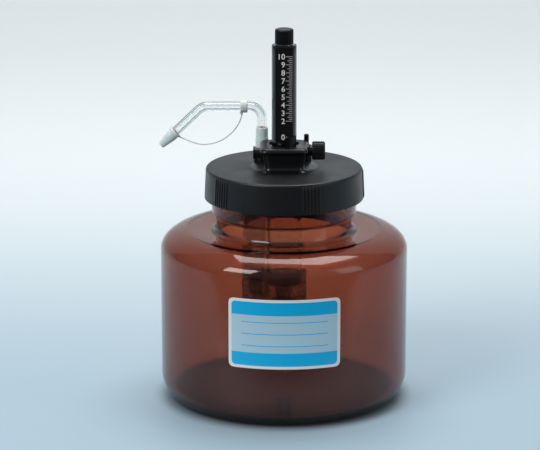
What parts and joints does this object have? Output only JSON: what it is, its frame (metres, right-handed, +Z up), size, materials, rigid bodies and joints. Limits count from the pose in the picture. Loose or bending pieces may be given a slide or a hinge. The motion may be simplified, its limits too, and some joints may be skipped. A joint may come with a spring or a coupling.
{
  "type": "bottle-top piston dispenser",
  "caption": "Bottle-top piston dispenser with a graduated push plunger, ball valves, a bent glass nozzle and a tethered tip cap on a wide-mouth amber bottle with a screw cap.",
  "frame": {"origin": "centre of the bottle's base, on the surface it stands on", "axes": "+Z up along the plunger, scale and label to -Y, nozzle to -X"},
  "size_m": [0.1424, 0.1415, 0.2139],
  "materials": {
    "amber_glass": "blown amber glass, glossy",
    "printed_label": "printed label, satin",
    "cap_plastic": "moulded polypropylene, satin",
    "housing_plastic": "moulded, light gloss",
    "inner_plastic": "moulded, satin",
    "steel": "turned stainless steel",
    "seal_rubber": "matt",
    "clear_glass": "borosilicate glass, polished",
    "white_ptfe": "turned PTFE, waxy",
    "clear_tube": "extruded clear plastic",
    "sleeve_plastic": "moulded, light gloss",
    "scale_print": "printed plate, gloss",
    "knob_plastic": "moulded, satin",
    "brass": "turned",
    "soft_white": "soft polyethylene, translucent"
  },
  "bodies": {
    "bottle": {"bottle": "amber_glass", "label": "printed_label"},
    "seal": {"cap_gasket": "white_ptfe"},
    "cap": {"screw_cap": "cap_plastic"},
    "head": {"pump_housing": "housing_plastic", "retaining_ring": "inner_plastic", "manifold": "inner_plastic", "manifold_screws": "steel", "riser_seal": "seal_rubber", "barrel": "clear_glass", "barrel_seals": "seal_rubber", "guide_bush": "white_ptfe", "index_tab": "housing_plastic", "side_plug": "housing_plastic", "valve_block": "inner_plastic", "inlet_nipple": "inner_plastic", "inlet_seat": "white_ptfe", "suction_tube": "clear_tube", "outlet_tube": "clear_tube", "outlet_seals": "seal_rubber", "outlet_seat": "white_ptfe", "outlet_cage": "white_ptfe"},
    "inlet_ball": {"inlet_ball": "clear_glass"},
    "outlet_ball": {"outlet_ball": "clear_glass"},
    "plunger": {"scale_sleeve": "sleeve_plastic", "scale_plate": "scale_print", "plunger_rod": "steel", "piston": "white_ptfe", "piston_rings": "seal_rubber", "top_washer": "steel"},
    "knob_insert": {"knob_insert": "brass"},
    "top_knob": {"top_knob": "knob_plastic"},
    "lock_shoe": {"lock_shoe": "white_ptfe"},
    "lock_screw": {"lock_screw": "knob_plastic"},
    "vent_plug": {"vent_plug": "knob_plastic"},
    "nozzle": {"nozzle_joint": "white_ptfe", "joint_seal": "seal_rubber", "nozzle_tube": "clear_glass", "tether_ring": "soft_white", "tether": "soft_white"},
    "tip_cap": {"tip_cap": "soft_white"}
  },
  "joints": [
    {"name": "cap_lift", "type": "slide", "parent": "bottle", "child": "seal", "axis": [0, 0, 1], "range_m": [0, 0.0063]},
    {"name": "cap_turn", "type": "hinge", "parent": "seal", "child": "cap", "pos_m": [0, 0, 0.117], "axis": [0, 0, 1], "range_deg": [0, 450]},
    {"name": "head_swivel", "type": "hinge", "parent": "seal", "child": "head", "pos_m": [0, 0, 0.134], "axis": [0, 0, 1], "range_deg": [-180, 180]},
    {"name": "plunger_slide", "type": "slide", "parent": "head", "child": "plunger", "axis": [0, 0, -1], "range_m": [0, 0.04643]},
    {"name": "knob_lift", "type": "slide", "parent": "plunger", "child": "knob_insert", "axis": [0, 0, 1], "range_m": [0, 0.00162]},
    {"name": "knob_turn", "type": "hinge", "parent": "knob_insert", "child": "top_knob", "pos_m": [0, 0, 0.21], "axis": [0, 0, 1], "range_deg": [0, 720]},
    {"name": "lock_press", "type": "slide", "parent": "head", "child": "lock_shoe", "axis": [-1, 0, 0], "range_m": [0, 0.0005]},
    {"name": "lock_turn", "type": "hinge", "parent": "lock_shoe", "child": "lock_screw", "pos_m": [0.016, 0, 0.1435], "axis": [-1, 0, 0], "range_deg": [0, 255]},
    {"name": "vent_pull", "type": "slide", "parent": "head", "child": "vent_plug", "axis": [0, 0, 1], "range_m": [0, 0.012]},
    {"name": "inlet_lift", "type": "slide", "parent": "head", "child": "inlet_ball", "axis": [0, 0, 1], "range_m": [0, 0.0012]},
    {"name": "outlet_lift", "type": "slide", "parent": "head", "child": "outlet_ball", "axis": [0, 0, 1], "range_m": [0, 0.0012]},
    {"name": "nozzle_swivel", "type": "hinge", "parent": "head", "child": "nozzle", "pos_m": [-0.0126, 0.0122, 0.147], "axis": [0, 0, 1], "range_deg": [-150, 75]},
    {"name": "tip_cap_pull", "type": "slide", "parent": "nozzle", "child": "tip_cap", "axis": [-0.7193, 0, -0.6947], "range_m": [0, 0.012]}
  ],
  "couplings": [
    {"joint": "cap_lift", "follows": "cap_turn", "m_per_rad": 0.00079577},
    {"joint": "knob_lift", "follows": "knob_turn", "m_per_rad": 0.00012732},
    {"joint": "lock_press", "follows": "lock_turn", "m_per_rad": 0.00011141}
  ]
}
